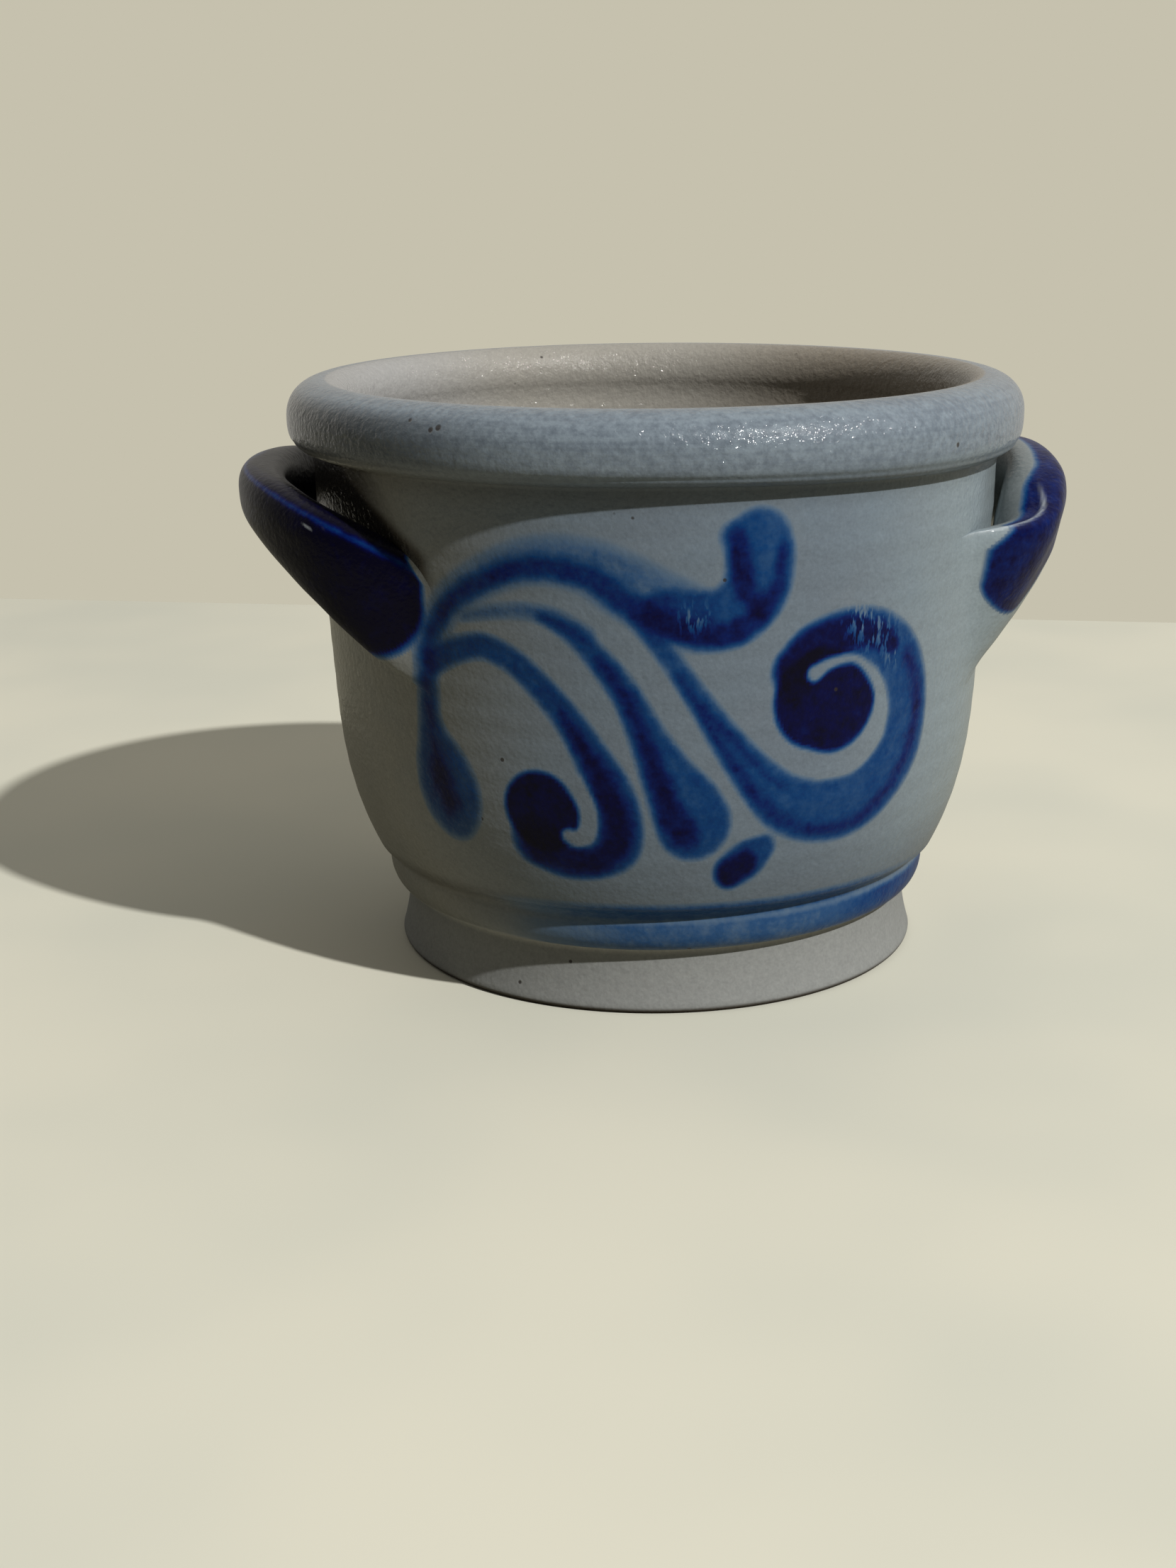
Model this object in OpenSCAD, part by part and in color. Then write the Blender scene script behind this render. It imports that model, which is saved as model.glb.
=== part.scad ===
// Two-handled salt pot: a small thrown stoneware pot with pulled strap handles.
// The pot stands on z = 0 and turns about the z axis, with its handles on the x axis.

/* [Pot] */
// Height of the pot, from the foot to the top of the rim
pot_h = 72.7; // [68:0.1:80]
// Radius that the straight wall loses from the neck down to the cove
wall_taper = 3.5; // [1:0.1:5]
// Height at which the belly starts to turn in
belly_h = 34; // [26:0.5:37]
// Further radius that the belly loses down to the cove
belly_tuck = 3.2; // [1.5:0.1:5]
// Thickness of the wall
wall_t = 4.6; // [3:0.1:6]
// Thickness of the floor at its middle
floor_t = 7.5; // [5:0.1:10]

/* [Rim] */
// Outer diameter of the rolled rim
rim_d = 92; // [86:0.1:100]
// Distance that the roll stands out past the wall under it
rim_overhang = 2.75; // [2:0.05:3.5]
// Width of the roll, from its inner to its outer side
rim_w = 7.8; // [6.5:0.1:9.5]
// Height of the roll
rim_h = 7.7; // [6:0.1:9]

/* [Foot] */
// Diameter of the foot where it stands
foot_d = 67.2; // [64:0.1:70]
// Diameter of the foot at its top, under the ridge
foot_neck_d = 65; // [61:0.1:66]
// Height of the foot
foot_h = 8; // [6:0.1:10]
// Radius of the worn edge on which the pot stands
foot_edge_r = 0.5; // [0.2:0.1:1]

/* [Ridge and cove] */
// Diameter of the ridge above the foot
ridge_d = 70; // [67:0.1:71]
// Height of the ridge
ridge_h = 4; // [3:0.1:5]
// Height of the cove between the ridge and the belly
cove_h = 2.1; // [1.5:0.1:3]
// Depth of the cove
cove_depth = 0.6; // [0.2:0.1:1]

/* [Handles] */
// Angle around the pot from the middle of a handle to where its middle line enters the wall
handle_spread = 41; // [36:0.5:46]
// Angle by which each handle sits behind the middle of its side
handle_set_back = 2.9; // [0:0.1:6]
// Distance that the middle of a handle's crest stands out from the wall
handle_stand = 6.8; // [5.5:0.1:9]
// Distance from the underside of the rim down to the middle of the crest
handle_drop = 5; // [4.4:0.1:9]
// Height that a handle falls from its crest to its roots
handle_fall = 11.8; // [8:0.1:15]
// Width of the strap at the crest
strap_crest_w = 5.8; // [5:0.1:8]
// Width of the strap at the roots
strap_root_w = 12.8; // [9:0.1:15]
// Thickness of the strap at the crest
strap_crest_t = 4.6; // [4:0.1:6]
// Thickness of the strap at the roots
strap_root_t = 4.2; // [3.5:0.1:7]
// Angle by which the strap leans in towards the pot, out of the upright
strap_roll = 6; // [0:1:25]
// Clay smeared out over the wall at each root
root_smear = 0.6; // [0:0.1:2.5]

/* [Hidden] */

// How full the curves are: 2 is an ellipse, and a larger value is squarer
ridge_fullness = 2.5;
cavity_fullness = 2.6;
strap_fullness = 2.5;
// How late the belly turns in, as a power
belly_power = 2.6;
// Where the top of the roll lies, as a share of its width from the inside
rim_top_share = 0.4;

// Steps along each stretch of the profile, and the rings and sides of a strap
edge_steps = 4;
foot_steps = 6;
ridge_steps = 10;
cove_steps = 8;
belly_steps = 14;
roll_steps = 18;
cavity_steps = 18;
strap_rings = 52;
strap_sides = 20;
turn_sides = 120;

// Heights of the joints between the stretches of the profile
ridge_top_z = foot_h + ridge_h;
cove_top_z = ridge_top_z + cove_h;
rim_under_z = pot_h - rim_h;
rim_mid_z = pot_h - rim_h / 2;

// Radii of the profile
foot_r = foot_d / 2;
foot_neck_r = foot_neck_d / 2;
ridge_r = ridge_d / 2;
rim_r = rim_d / 2;
neck_r = rim_r - rim_overhang;
rim_in_w = rim_w * rim_top_share;
rim_out_w = rim_w - rim_in_w;
rim_top_r = rim_r - rim_out_w;
// Angle below the middle of the roll at which its underside meets the neck
neck_angle = acos((neck_r - rim_top_r) / rim_out_w);

// The wall's straight cone, and the belly that turns in under it
function cone_r(z) = neck_r - wall_taper * (rim_under_z - z) / (rim_under_z - cove_top_z);
function belly_in(z) = z >= belly_h ? 0
    : belly_tuck * pow((belly_h - z) / (belly_h - cove_top_z), belly_power);
function wall_r(z) = cone_r(z) - belly_in(z);
// One quarter of a full curve: how wide it still is at share s of its height
function full_curve(s, fullness) = pow(1 - pow(s, fullness), 1 / fullness);
function between(a, b, s) = a + (b - a) * s;

// Stretches of the outer profile as [radius, height], from the foot up to the top of the rim
foot_edge = [for (i = [0 : edge_steps]) let (a = 90 * i / edge_steps)
    [foot_r - foot_edge_r + foot_edge_r * sin(a), foot_edge_r * (1 - cos(a))]];
foot_side = [for (i = [1 : foot_steps]) let (s = i / foot_steps)
    [between(foot_neck_r, foot_r, pow(1 - s, 2)), between(foot_edge_r, foot_h, s)]];
ridge_side = [for (i = [1 : ridge_steps]) let (a = 90 * i / ridge_steps)
    [between(foot_neck_r, ridge_r, full_curve(cos(a), ridge_fullness)),
     ridge_top_z - ridge_h * cos(a)]];
cove_side = [for (i = [1 : cove_steps]) let (s = i / cove_steps)
    [between(ridge_r, wall_r(cove_top_z), s) - cove_depth * sin(180 * s),
     between(ridge_top_z, cove_top_z, s)]];
belly_side = [for (i = [1 : belly_steps]) let (z = between(cove_top_z, belly_h, i / belly_steps))
    [wall_r(z), z]];
neck_point = [neck_r, rim_mid_z - rim_h / 2 * sin(neck_angle)];
roll_out = [for (i = [0 : roll_steps]) let (a = between(-neck_angle, 90, i / roll_steps))
    [rim_top_r + rim_out_w * cos(a), rim_mid_z + rim_h / 2 * sin(a)]];
roll_in = [for (i = [1 : roll_steps / 2]) let (a = 180 * i / roll_steps)
    [rim_top_r - rim_in_w * sin(a), rim_mid_z + rim_h / 2 * cos(a)]];
outer_side = concat(foot_edge, foot_side, ridge_side, cove_side, belly_side, roll_out);

// The cavity: it follows the wall down to the belly and closes on the floor in one full curve
function cavity_r(z) = z >= belly_h ? cone_r(z) - wall_t
    : (cone_r(z) - wall_t) * full_curve((belly_h - z) / (belly_h - floor_t), cavity_fullness);
cavity_wall = [[cavity_r(rim_under_z), rim_under_z]];
cavity_bowl = [for (i = [0 : cavity_steps]) let (a = 90 * i / cavity_steps)
    let (z = belly_h - (belly_h - floor_t) * sin(a))
    [cavity_r(z), z]];

pot_profile = concat([[0, 0]], outer_side, roll_in, cavity_wall, cavity_bowl);

module thrown_pot() {
    color("lightslategray")
        rotate_extrude($fn = turn_sides)
            polygon(pot_profile);
}

// The space inside the outer face of the wall, which trims the roots of the handles
module pot_space() {
    wall_line = concat([[0, cove_top_z]], [[wall_r(cove_top_z), cove_top_z]], belly_side,
        [neck_point, [0, neck_point[1]]]);
    rotate_extrude($fn = turn_sides)
        polygon(wall_line);
}

// The middle line of a handle runs around the wall, highest and furthest out at its crest.
// Place u on it is 0 at the crest and 1 where it enters the wall, and it ends buried inside.
crest_z = rim_under_z - handle_drop;
buried_u = 1.3;
way_step = 0.01;
// How late the handle falls and turns in to the wall, and how late the strap widens
// towards its roots and is smeared out over the wall, as powers
fall_power = 2.05;
turn_power = 3.6;
widen_power = 1.5;
smear_power = 5;

function line_point(u) = let (
    z = crest_z - handle_fall * pow(abs(u), fall_power),
    r = cone_r(z) + handle_stand * (1 - pow(abs(u), turn_power)))
    [r * cos(handle_spread * u), r * sin(handle_spread * u), z];
function unit(v) = v / norm(v);
function line_way(u) = unit(line_point(u + way_step) - line_point(u - way_step));

// One station on the strap: [place, way out from the pot, way up the strap, share from
// crest to root]
function station(u) = let (
    way = line_way(u),
    away = [cos(handle_spread * u), sin(handle_spread * u), 0],
    out = unit(away - (away * way) * way),
    up = cross(out, way))
    [line_point(u),
     out * cos(strap_roll) + up * sin(strap_roll),
     up * cos(strap_roll) - out * sin(strap_roll),
     min(abs(u), 1)];
stations = [for (i = [0 : strap_rings]) station(between(buried_u, -buried_u, i / strap_rings))];

// One point of the full, rounded section, as [thickness way, width way]
function rounded(v) = sign(v) * pow(abs(v), 2 / strap_fullness);
function strap_section(s, a) = let (widening = pow(s, widen_power))
    [(between(strap_crest_t, strap_root_t, widening) / 2 + root_smear * pow(s, smear_power))
        * rounded(sin(a)),
     between(strap_crest_w, strap_root_w, widening) / 2 * rounded(cos(a))];
function strap_point(st, a) = let (q = strap_section(st[3], a))
    st[0] + st[1] * q[0] + st[2] * q[1];

module strap() {
    rings = len(stations);
    sides = strap_sides;
    points = [for (st = stations, k = [0 : sides - 1]) strap_point(st, 360 * k / sides)];
    quads = [for (i = [0 : rings - 2], k = [0 : sides - 1])
        [i * sides + k, i * sides + (k + 1) % sides,
         (i + 1) * sides + (k + 1) % sides, (i + 1) * sides + k]];
    sides_of_strap = [for (q = quads, half = [0, 1]) half == 0
        ? [q[0], q[1], q[2]]
        : [q[0], q[2], q[3]]];
    first_cap = [[for (k = [sides - 1 : -1 : 0]) k]];
    last_cap = [[for (k = [0 : sides - 1]) (rings - 1) * sides + k]];
    polyhedron(points, concat(sides_of_strap, first_cap, last_cap), convexity = 4);
}

module handle() {
    color("midnightblue")
        difference() {
            strap();
            pot_space();
        }
}

module right_handle() {
    rotate([0, 0, handle_set_back])
        handle();
}

module left_handle() {
    mirror([1, 0, 0])
        right_handle();
}

thrown_pot();
left_handle();
right_handle();
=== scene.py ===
# A small two-handled salt pot: thrown stoneware with a salt glaze and cobalt brushwork
# Lengths are in millimetres and angles in degrees; the painted front faces -Y

import math

import bpy
import numpy as np
from mathutils import Matrix, Vector


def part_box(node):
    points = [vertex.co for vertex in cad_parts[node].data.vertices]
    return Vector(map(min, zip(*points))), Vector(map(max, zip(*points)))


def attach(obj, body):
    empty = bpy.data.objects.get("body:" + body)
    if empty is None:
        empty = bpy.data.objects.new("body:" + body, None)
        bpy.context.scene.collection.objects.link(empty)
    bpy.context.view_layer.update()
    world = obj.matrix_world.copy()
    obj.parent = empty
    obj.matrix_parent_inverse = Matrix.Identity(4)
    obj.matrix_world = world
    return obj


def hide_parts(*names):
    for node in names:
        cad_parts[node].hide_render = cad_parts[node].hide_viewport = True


mm = 0.001

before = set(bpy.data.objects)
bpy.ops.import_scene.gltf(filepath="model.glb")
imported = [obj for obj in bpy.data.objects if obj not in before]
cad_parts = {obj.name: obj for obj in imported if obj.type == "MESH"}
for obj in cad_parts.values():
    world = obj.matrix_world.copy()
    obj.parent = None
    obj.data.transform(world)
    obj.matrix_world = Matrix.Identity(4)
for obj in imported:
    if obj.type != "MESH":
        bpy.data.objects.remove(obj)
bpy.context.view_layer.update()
potLow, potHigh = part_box("thrown_pot")
print("frame loaded")


# camera, where the photograph was taken from

shot = {
    "turn": 7.6,        # how far the pot is turned from facing the camera
    "distance": 272.0,  # from the pot's axis, level
    "height": 99.2,
    "heading": -1.85,   # off the pot's axis
    "down": 16.45,
    "roll": -0.8,
    "lens": 49.3,
}


def level(angle):
    a = math.radians(angle)
    return Vector((math.sin(a), math.cos(a), 0))


def makeCamera():
    heading = level(shot["heading"] + shot["turn"])
    down, roll = math.radians(shot["down"]), math.radians(shot["roll"])
    forward = heading * math.cos(down) - Vector((0, 0, math.sin(down)))
    right = forward.cross(Vector((0, 0, 1))).normalized()
    up = right.cross(forward)
    side = right * math.cos(roll) + up * math.sin(roll)
    top = up * math.cos(roll) - right * math.sin(roll)
    camera = bpy.data.objects.new("camera", bpy.data.cameras.new("camera"))
    camera.data.lens = shot["lens"]
    camera.data.clip_start = 0.01
    camera.matrix_world = Matrix((side, top, -forward)).transposed().to_4x4()
    camera.location = (Vector((0, 0, shot["height"])) - level(shot["turn"]) * shot["distance"]) * mm
    bpy.context.collection.objects.link(camera)
    bpy.context.scene.camera = camera


makeCamera()
print("camera set")


# a socket wrapper, so that shader maths reads as maths

class Sock:
    def __init__(self, net, out):
        self.net, self.out = net, out

    def maths(self, operation, *values):
        return self.net.node("ShaderNodeMath", {"operation": operation}, dict(enumerate(values)))

    def __add__(self, other):
        return self.maths("ADD", self, other)

    def __sub__(self, other):
        return self.maths("SUBTRACT", self, other)

    def __rsub__(self, other):
        return self.maths("SUBTRACT", other, self)

    def __mul__(self, other):
        return self.maths("MULTIPLY", self, other)

    __radd__ = __add__
    __rmul__ = __mul__

    def clip(self):
        return self.net.node("ShaderNodeMath", {"operation": "ADD", "use_clamp": True}, {0: self, 1: 0.0})

    def ramp(self, start, end, low=0.0, high=1.0):
        settings = {"interpolation_type": "SMOOTHSTEP"}
        values = {"Value": self, "From Min": start, "From Max": end, "To Min": low, "To Max": high}
        return self.net.node("ShaderNodeMapRange", settings, values)

    def stretch(self, x, y, z):
        return self.net.node("ShaderNodeVectorMath", {"operation": "MULTIPLY"}, {0: self, 1: (x, y, z)})


class Net:
    def __init__(self, owner):
        owner.use_nodes = True
        self.tree = owner.node_tree
        self.tree.nodes.clear()

    def node(self, kind, settings=None, values=None, output=0):
        node = self.tree.nodes.new(kind)
        for key, value in (settings or {}).items():
            if key == "stops":
                self.setStops(node.color_ramp, value)
            else:
                setattr(node, key, value)
        for key, value in (values or {}).items():
            if isinstance(value, Sock):
                self.tree.links.new(value.out, node.inputs[key])
            else:
                node.inputs[key].default_value = value
        return Sock(self, node.outputs[output]) if node.outputs else None

    def setStops(self, ramp, stops):
        while len(ramp.elements) < len(stops):
            ramp.elements.new(0.5)
        for element, (place, colour) in zip(ramp.elements, stops):
            element.position = place
            element.color = colour

    def blend(self, factor, first, second, how="MIX"):
        settings = {"data_type": "RGBA", "blend_type": how}
        return self.node("ShaderNodeMix", settings, {0: factor, 6: first, 7: second}, 2)

    def attribute(self, name):
        return self.node("ShaderNodeAttribute", {"attribute_name": name}, output=2)

    def place(self):
        here = self.node("ShaderNodeTexCoord", output=3)
        return here.stretch(1 / mm, 1 / mm, 1 / mm)

    def noise(self, place, size, detail, rough=0.5):
        values = {"Vector": place, "Scale": 1 / size, "Detail": detail, "Roughness": rough}
        return self.node("ShaderNodeTexNoise", {"noise_dimensions": "3D"}, values)

    def cells(self, place, size, feature="F1"):
        settings = {"voronoi_dimensions": "3D", "feature": feature}
        return self.node("ShaderNodeTexVoronoi", settings, {"Vector": place, "Scale": 1 / size})

    def shader(self, values):
        surface = self.node("ShaderNodeBsdfPrincipled", None, values)
        self.node("ShaderNodeOutputMaterial", None, {0: surface})


def paint(red, green, blue):  # a colour as seen on screen, 0 to 255
    return tuple(((c / 255 + 0.055) / 1.055) ** 2.4 for c in (red, green, blue)) + (1.0,)


# the thrown body: its profile, as the potter's rib left it

margin = 0.15  # how far the rim stays inside the solid's box

pot = {
    "height": potHigh.z / mm,
    "rimRadius": potHigh.x / mm - margin,
    "rimWidth": 7.8,
    "rimHeight": 7.7,
    "rimTopShare": 0.4,
    "rimSide": 68.2,     # height at which the roll is widest
    "rimUnder": 64.4,    # its underside at the front, and how much lower it sags on the right
    "rimSag": 0.8,
    "rimDip": 0.18,      # how much lower the rim is on one side than on the other
    "rollUnder": (0.55, 0.7),  # how full the roll is below its widest place, out and down, as powers
    "rollOver": 0.92,          # and above it
    "rimCrease": 0.14,   # depth of the line that the rib left round the roll's lower edge
    "creaseHeight": 1.2,
    "creaseWidth": 0.25,
    "neckRadius": 43.2,
    "neckInset": 0.3,    # drawn in under the roll
    "taper": 3.5,        # lost by the straight wall from the neck to the cove
    "bellyHeight": 34.0,
    "bellyTuck": 3.2,
    "bellyPower": 2.6,
    "coveTop": 14.1,
    "coveDepth": 0.6,
    "ridgeTop": 12.0,
    "ridgeRadius": 35.0,
    "ridgeFullness": 2.5,
    "footHeight": 8.0,
    "footRadius": 33.6,
    "footNeckRadius": 32.5,
    "footEdge": 0.7,
    "wall": 4.6,
    "floor": 7.5,
    "cavityFullness": 2.6,
    "axisGap": 0.8,      # the profile's points stay this far from the axis
    "frontStep": 0.55,   # degrees between columns over the painted front
    "backStep": 1.5,
    "frontReach": 76,    # degrees to each side that count as the front
    "wobble": 0.1,       # how far off true the wall was thrown
    "ringDepth": 0.015,  # throwing rings on the wall
    "bandLow": 7.0,      # the band of cobalt lies from here up to paintLow, the brushwork above that
    "paintLow": 16.0,
    "paintTop": 64.0,
    "paintReach": 60.0,  # degrees to each side
}

rollTop = pot["rimRadius"] - pot["rimWidth"] * (1 - pot["rimTopShare"])  # radius of the rim's top

# for each stretch of the profile, where its points start and how far apart they lie
spacing = {
    "underside": (0, 3), "footEdge": (10, 15), "footSide": (0.08, 0.06), "ridge": (6, 6),
    "cove": (0.1, 0.1), "wall": 0.4, "rollUnder": (0.3, 0.07), "rollOver": (0.07, 0.09),
    "lip": (0.12, 0.12), "innerWall": 1.0, "bowl": (0, 3),
}


def step(value, low, high):
    s = np.clip((value - low) / (high - low), 0, 1)
    return s * s * (3 - 2 * s)


def fade(value, low, high):
    return 1 - step(value, low, high)


def fullCurve(share, fullness):
    return (1 - np.clip(share, 0, 1) ** fullness) ** (1 / fullness)


def coneRadius(z):
    under = pot["height"] - pot["rimHeight"]
    return pot["neckRadius"] - pot["taper"] * (under - z) / (under - pot["coveTop"])


def wallRadius(z):
    low = np.clip((pot["bellyHeight"] - z) / (pot["bellyHeight"] - pot["coveTop"]), 0, None)
    neck = pot["neckInset"] * step(z, 56, 63)
    return coneRadius(z) - pot["bellyTuck"] * low ** pot["bellyPower"] - neck


def spaced(end, start, gap):
    return np.linspace(start, end, max(2, int(math.ceil(abs(end - start) / gap)) + 1))


def stretch(radius, z):
    return np.stack([radius, z], 1)


def footStretches():
    edge = pot["footEdge"]
    r = spaced(pot["footRadius"] - edge, *spacing["underside"])
    a = np.radians(spaced(90, *spacing["footEdge"]))
    s = spaced(1, *spacing["footSide"])
    neckIn = (pot["footRadius"] - pot["footNeckRadius"]) * (1 - (1 - s) ** 2)
    return [
        stretch(r, 0 * r),
        stretch(pot["footRadius"] - edge + edge * np.sin(a), edge * (1 - np.cos(a))),
        stretch(pot["footRadius"] - neckIn, edge + (pot["footHeight"] - edge) * s),
    ]


def ridgeStretches():
    a = np.radians(spaced(90, *spacing["ridge"]))
    out = fullCurve(np.cos(a), pot["ridgeFullness"])
    s = spaced(1, *spacing["cove"])
    coveRadius = pot["ridgeRadius"] + (wallRadius(pot["coveTop"]) - pot["ridgeRadius"]) * s
    return [
        stretch(pot["footNeckRadius"] + (pot["ridgeRadius"] - pot["footNeckRadius"]) * out,
                pot["ridgeTop"] - (pot["ridgeTop"] - pot["footHeight"]) * np.cos(a)),
        stretch(coveRadius - pot["coveDepth"] * np.sin(np.pi * s),
                pot["ridgeTop"] + (pot["coveTop"] - pot["ridgeTop"]) * s),
    ]


def wallStretches():
    gap = spacing["wall"]
    z = spaced(pot["rimUnder"], pot["coveTop"] + gap, gap)
    return [stretch(wallRadius(z), z)]


def rollStretches():
    # the rolled rim, from its underside up to its top
    outward, side = pot["rimRadius"] - rollTop, pot["rimSide"]
    outPower, downPower = pot["rollUnder"]
    a = spaced(math.pi / 2, *spacing["rollUnder"])
    under = stretch(rollTop + outward * np.sin(a) ** outPower,
                    side - (side - pot["rimUnder"]) * np.cos(a) ** downPower)
    fromCrease = (under[:, 1] - pot["rimUnder"] - pot["creaseHeight"]) / pot["creaseWidth"]
    under[:, 0] -= pot["rimCrease"] * np.exp(-fromCrease ** 2)
    a = spaced(math.pi / 2, *spacing["rollOver"])
    over = stretch(rollTop + outward * np.cos(a) ** pot["rollOver"],
                   side + (pot["height"] - side) * np.sin(a) ** pot["rollOver"])
    return [under, over]


def innerStretches():
    # the lip, the inner wall and the bowl
    half, turnPast, lipEnd = pot["rimHeight"] / 2, 0.5, 0.9
    middle = pot["height"] - half
    belly, deep = pot["bellyHeight"], pot["bellyHeight"] - pot["floor"]
    a = spaced(math.pi / 2 + turnPast, *spacing["lip"])
    lip = stretch(rollTop - pot["rimWidth"] * pot["rimTopShare"] * np.sin(a), middle + half * np.cos(a))
    gap = spacing["innerWall"]
    z = spaced(belly + gap, middle - half * lipEnd, gap)
    wall = stretch(coneRadius(z) - pot["wall"], z)
    z = belly - deep * np.sin(np.radians(spaced(88, *spacing["bowl"])))
    full = fullCurve((belly - z) / deep, pot["cavityFullness"])
    bowl = stretch((coneRadius(z) - pot["wall"]) * full, z)
    return [lip, wall, bowl]


def potProfile():
    outer = np.concatenate(footStretches() + ridgeStretches() + wallStretches() + rollStretches())
    line = np.concatenate([outer] + innerStretches())
    inside = np.arange(len(line)) >= len(outer)
    kept = line[:, 0] > pot["axisGap"]
    return line[kept], inside[kept]


# cobalt brushwork: each stroke runs through (degrees right of the front, height, half width)
# A load is how much cobalt the brush left, and soft is the width over which it bled

brushwork = {
    "topScroll": {"load": 0.34, "soft": 3.2, "path": [
        (-46, 44, 1.5), (-44, 47.5, 1.8), (-39.5, 51.5, 1.8), (-31, 55.1, 2.1), (-24, 56.4, 2.4),
        (-17.5, 55.8, 2.8), (-12.5, 54, 3.3), (-7, 51.8, 3.4), (-2, 50, 3.3)]},
    "topScrollCore": {"load": 0.66, "soft": 1.8, "path": [
        (-45, 46.6, 1.0), (-40, 51, 1.1), (-31, 54.6, 1.2), (-24, 55.5, 1.3), (-17, 54.6, 1.4),
        (-12.5, 52.2, 1.5), (-7.5, 50, 1.5), (-3.5, 48.6, 1.5), (0.5, 47.9, 1.5), (5.4, 48.5, 1.5),
        (9, 50.6, 1.3), (11.2, 53.5, 0.9), (11.8, 57.5, 0.6)]},
    "topScrollHead": {"load": 0.54, "soft": 1.6, "path": [
        (-6, 50.8, 2.5), (-2, 50, 2.9), (3.5, 50, 3.4), (7.5, 52.6, 3.8), (8.4, 56.1, 3.9),
        (8.2, 58.3, 3.6)]},
    "topScrollTurn": {"load": 0.7, "soft": 1.8, "path": [
        (8, 50.8, 1.0), (6, 53.5, 1.4), (5.3, 56.6, 1.3), (4.3, 59, 1.4)]},
    "middleLeafStart": {"load": 0.34, "soft": 1.6, "path": [
        (-38, 49.2, 0.4), (-30, 50.4, 0.8), (-23, 50, 0.95), (-18, 48, 1.1)]},
    "middleLeaf": {"load": 0.6, "soft": 1.4, "path": [
        (-25, 49.9, 0.4), (-21, 48.7, 1.0), (-17.6, 46.6, 1.25), (-14.1, 43.6, 1.5),
        (-11.5, 40.8, 1.6), (-8.7, 36.4, 2.1), (-5.6, 31.8, 3.0), (-2.6, 28, 4.1), (-1.3, 25.8, 4.5)]},
    "middleLeafCore": {"load": 0.74, "soft": 2.4, "path": [
        (-15.6, 45, 0.5), (-12, 41, 0.9), (-9.5, 36.5, 1.0), (-7.2, 31.5, 1.3), (-5, 27, 1.7),
        (-2.8, 24.4, 1.7)]},
    "ring": {"load": 0.57, "soft": 1.4, "path": [
        (-10, 50, 1.0), (-5, 45.2, 1.1), (-0.2, 40, 1.35), (4.2, 35.3, 1.85), (9.3, 30.6, 2.6),
        (14.4, 27.3, 3.4), (21, 25.9, 3.8), (27.6, 26.2, 3.9), (33, 28.5, 3.9), (37.1, 32.1, 3.8),
        (38, 37.4, 3.5), (35.6, 42.2, 3.3), (30.4, 45.7, 3.0), (24, 46.8, 2.9), (18, 45.6, 3.0),
        (15, 43.2, 3.2)]},
    "ringOuterEdge": {"load": 0.55, "soft": 1.8, "path": [
        (-4, 43.6, 0.4), (-1.2, 40.2, 0.5), (3, 34.8, 0.7), (7.8, 29.8, 0.9), (13.2, 25.8, 0.8),
        (20.4, 23.6, 0.7), (28, 23.7, 0.8), (34.6, 26.8, 0.9), (39.3, 32, 0.9), (40.2, 38, 0.9),
        (37, 43.2, 1.0)]},
    "ringLine": {"load": 0.5, "soft": 1.2, "path": [
        (0, 39.8, 0.3), (5, 35.6, 0.5), (10, 31.6, 0.4), (14, 29.2, 0.2)]},
    "ringTop": {"load": 0.82, "soft": 1.6, "path": [
        (33, 44.6, 1.1), (29.4, 46.2, 1.8), (23.5, 47, 2.0), (17.5, 45.8, 2.3), (14.4, 43.6, 2.3)]},
    "eye": {"load": 0.94, "soft": 1.0, "path": [(19, 39.7, 5.9), (21.9, 39.2, 6.1)]},
    "lowLeaf": {"load": 0.64, "soft": 1.4, "path": [
        (-45, 43.4, 1.5), (-39.5, 45.3, 1.4), (-34.5, 45.9, 1.4), (-29.5, 44.4, 1.4), (-24.8, 41.3, 1.5),
        (-20.7, 37.7, 1.7), (-17.5, 33.8, 2.1), (-15, 30, 2.7), (-13.5, 26.5, 2.8), (-13.8, 22.9, 2.8),
        (-17.4, 20.9, 2.1), (-22.8, 21, 2.4), (-27.6, 23.2, 3.3)]},
    "lowLeafCore": {"load": 0.8, "soft": 2.2, "path": [
        (-22, 38.8, 0.2), (-18, 34, 1.0), (-14.6, 28.5, 1.7), (-13.6, 24, 1.9), (-16.8, 21.2, 1.7),
        (-22, 21, 1.9), (-27, 22.6, 2.5)]},
    "lowEye": {"load": 0.95, "soft": 1.0, "path": [(-26.6, 27.2, 4.6), (-26, 26.4, 4.6)]},
    "sideDrop": {"load": 0.55, "soft": 2.0, "path": [
        (-46.2, 44, 1.6), (-46.7, 39, 1.5), (-46.8, 36, 1.7), (-46, 33, 2.7), (-44.9, 30.2, 4.1),
        (-44, 27.6, 4.7), (-43.5, 25.6, 3.7), (-43, 24.4, 2.0)]},
    "sideDropCore": {"load": 0.8, "soft": 3.4, "path": [
        (-46.6, 41, 0.3), (-46.5, 34, 0.6), (-45.4, 29.5, 2.0), (-44.4, 26.4, 1.8)]},
    "smallDrop": {"load": 0.6, "soft": 1.3, "path": [
        (5.6, 19.5, 2.4), (7.8, 20.6, 2.6), (10.6, 22.2, 1.6)]},
    "smallDropCore": {"load": 0.86, "soft": 1.4, "path": [(5.4, 19.2, 1.9), (7.4, 20.2, 1.9)]},
}

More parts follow.
